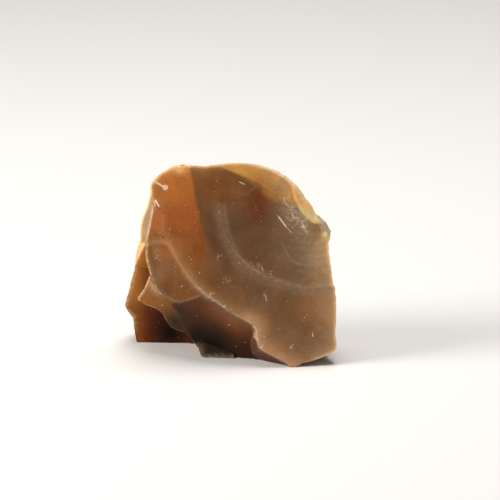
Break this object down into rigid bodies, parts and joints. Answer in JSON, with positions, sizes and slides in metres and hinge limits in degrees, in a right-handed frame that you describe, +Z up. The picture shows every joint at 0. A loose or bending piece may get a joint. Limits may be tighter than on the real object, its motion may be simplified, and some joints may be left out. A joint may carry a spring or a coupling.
{
  "type": "rough hornstone",
  "caption": "Rough piece of brown translucent hornstone with a broad shell-shaped fracture face, a long keel and thin edges.",
  "frame": {"origin": "centre of the bounding box at the bottom, in the plane of the flat underside", "axes": "+Z up as the stone rests; the broad shell-shaped face looks along -Y; +X is that face's right"},
  "size_m": [0.0362, 0.023, 0.0341],
  "materials": {
    "stone": "satin to waxy broken surface, brown with orange edges where light comes through"
  },
  "bodies": {
    "root": {"hornstone": "stone"}
  },
  "joints": []
}
